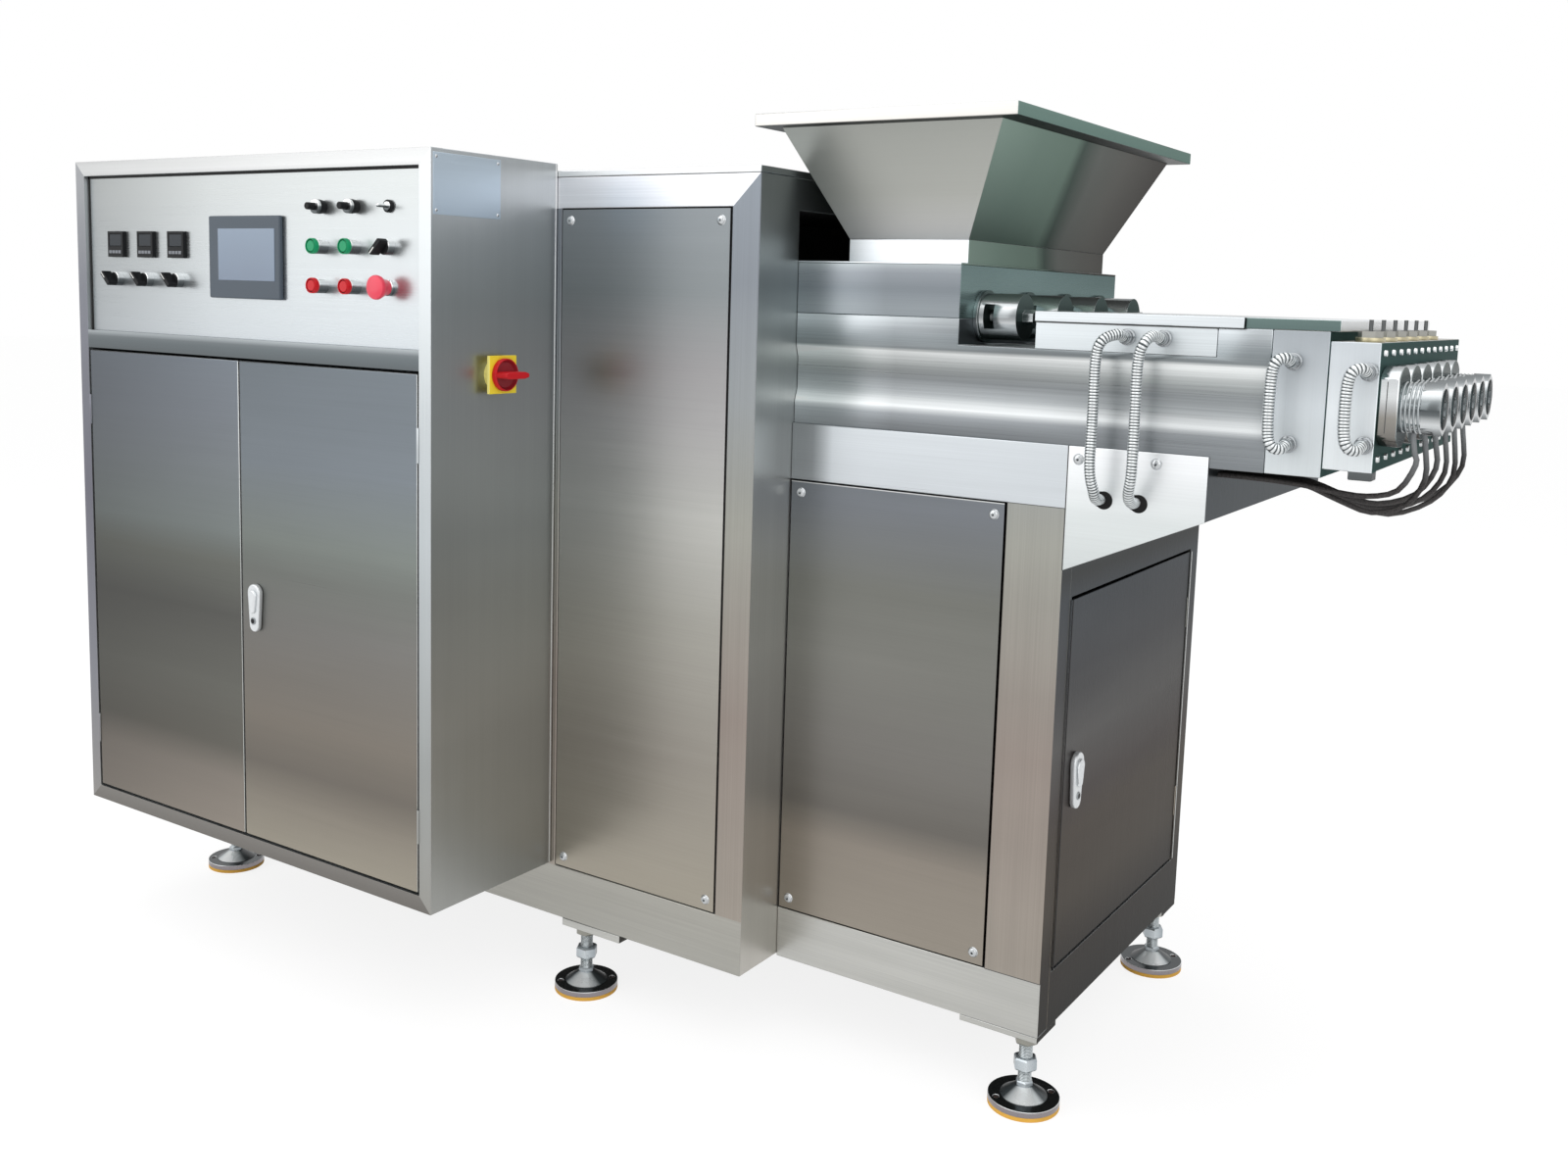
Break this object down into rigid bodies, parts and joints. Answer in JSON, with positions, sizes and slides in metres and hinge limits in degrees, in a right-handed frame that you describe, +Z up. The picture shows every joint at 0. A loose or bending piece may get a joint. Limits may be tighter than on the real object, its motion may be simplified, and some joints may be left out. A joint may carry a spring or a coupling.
{
  "type": "candy extruder",
  "caption": "Stainless candy extruder: control cabinet with doors, drive housing, hopper over a flat barrel on a base cabinet, and a die head with a row of nozzles.",
  "frame": {"origin": "on the floor under the middle of the machine's bounding box", "axes": "+X along the machine towards the nozzles, +Y from the control panel to the back, +Z up"},
  "size_m": [2.505, 1.3378, 1.633],
  "materials": {
    "brushed_stainless": "brushed",
    "bright_stainless": "bright brushed",
    "satin_stainless": "satin",
    "machined_steel": "machined",
    "screen_plastic": "moulded",
    "black_plastic": "moulded",
    "chrome_trim": "polished",
    "yellow_plastic": "moulded",
    "red_plastic": "moulded",
    "green_plastic": "moulded",
    "orange_rubber": "moulded",
    "zinc_steel": "zinc plated",
    "brass": "turned",
    "conduit_steel": "corrugated",
    "lock_metal": "cast",
    "lead_sleeve": "braided sleeve"
  },
  "bodies": {
    "machine": {"control_front_frame": "brushed_stainless", "control_side_walls": "brushed_stainless", "control_roof_and_floor": "brushed_stainless", "control_back_wall": "brushed_stainless", "control_panel": "bright_stainless", "touch_screen": "screen_plastic", "temperature_controllers": "black_plastic", "control_bezels": "chrome_trim", "selector_knobs": "black_plastic", "speed_knobs": "black_plastic", "isolator_base": "yellow_plastic", "drive_housing": "brushed_stainless", "drive_front_panel": "brushed_stainless", "drive_roof": "brushed_stainless", "base_front_frame": "brushed_stainless", "base_front_panel": "brushed_stainless", "base_back_wall": "brushed_stainless", "base_floor_and_deck": "brushed_stainless", "base_side_frame": "brushed_stainless", "bracket_plate": "bright_stainless", "support_bracket": "brushed_stainless", "foot_pads": "brushed_stainless", "foot_rubbers": "orange_rubber", "foot_stems": "zinc_steel", "feed_block": "brushed_stainless", "hopper_front_and_back": "satin_stainless", "hopper_ends": "satin_stainless", "hopper_neck": "satin_stainless", "hopper_rim": "satin_stainless", "roller_bearings": "machined_steel", "barrel": "brushed_stainless", "junction_box": "satin_stainless", "junction_box_lid": "satin_stainless", "end_cover": "machined_steel", "end_block": "machined_steel", "die_head": "machined_steel", "nozzle_flanges": "machined_steel", "nozzle_tips": "machined_steel", "needle_valves": "brass", "conduits": "conduit_steel", "conduit_fittings": "machined_steel", "heater_lead_1": "lead_sleeve", "heater_lead_2": "lead_sleeve", "heater_lead_3": "lead_sleeve", "heater_lead_4": "lead_sleeve", "heater_lead_5": "lead_sleeve", "heater_lead_6": "lead_sleeve"},
    "left_door": {"left_door": "brushed_stainless"},
    "right_door": {"right_door": "brushed_stainless", "right_door_handle": "lock_metal"},
    "side_door": {"side_door": "brushed_stainless", "side_door_handle": "lock_metal"},
    "isolator_handle": {"isolator_handle": "red_plastic"},
    "emergency_stop": {"emergency_stop": "red_plastic"},
    "start_button_1": {"start_button_1": "green_plastic"},
    "start_button_2": {"start_button_2": "green_plastic"},
    "stop_button_1": {"stop_button_1": "red_plastic"},
    "stop_button_2": {"stop_button_2": "red_plastic"}
  },
  "joints": [
    {"name": "left_door_hinge", "type": "hinge", "parent": "machine", "child": "left_door", "pos_m": [-1.197, -0.633, 0.73], "axis": [0, 0, -1], "range_deg": [0, 110]},
    {"name": "right_door_hinge", "type": "hinge", "parent": "machine", "child": "right_door", "pos_m": [-0.254, -0.633, 0.73], "axis": [0, 0, 1], "range_deg": [0, 110]},
    {"name": "side_door_hinge", "type": "hinge", "parent": "machine", "child": "side_door", "pos_m": [0.7295, 0.4465, 0.55], "axis": [0, 0, 1], "range_deg": [0, 110]},
    {"name": "isolator_turn", "type": "hinge", "parent": "machine", "child": "isolator_handle", "pos_m": [-0.1975, -0.483, 1.18], "axis": [1, 0, 0], "range_deg": [0, 90]},
    {"name": "emergency_stop_push", "type": "slide", "parent": "machine", "child": "emergency_stop", "axis": [0, 1, 0], "range_m": [0, 0.005]},
    {"name": "start_button_1_push", "type": "slide", "parent": "machine", "child": "start_button_1", "axis": [0, 1, 0], "range_m": [0, 0.003], "stiffness_N_per_m": 600},
    {"name": "start_button_2_push", "type": "slide", "parent": "machine", "child": "start_button_2", "axis": [0, 1, 0], "range_m": [0, 0.003], "stiffness_N_per_m": 600},
    {"name": "stop_button_1_push", "type": "slide", "parent": "machine", "child": "stop_button_1", "axis": [0, 1, 0], "range_m": [0, 0.003], "stiffness_N_per_m": 600},
    {"name": "stop_button_2_push", "type": "slide", "parent": "machine", "child": "stop_button_2", "axis": [0, 1, 0], "range_m": [0, 0.003], "stiffness_N_per_m": 600}
  ]
}
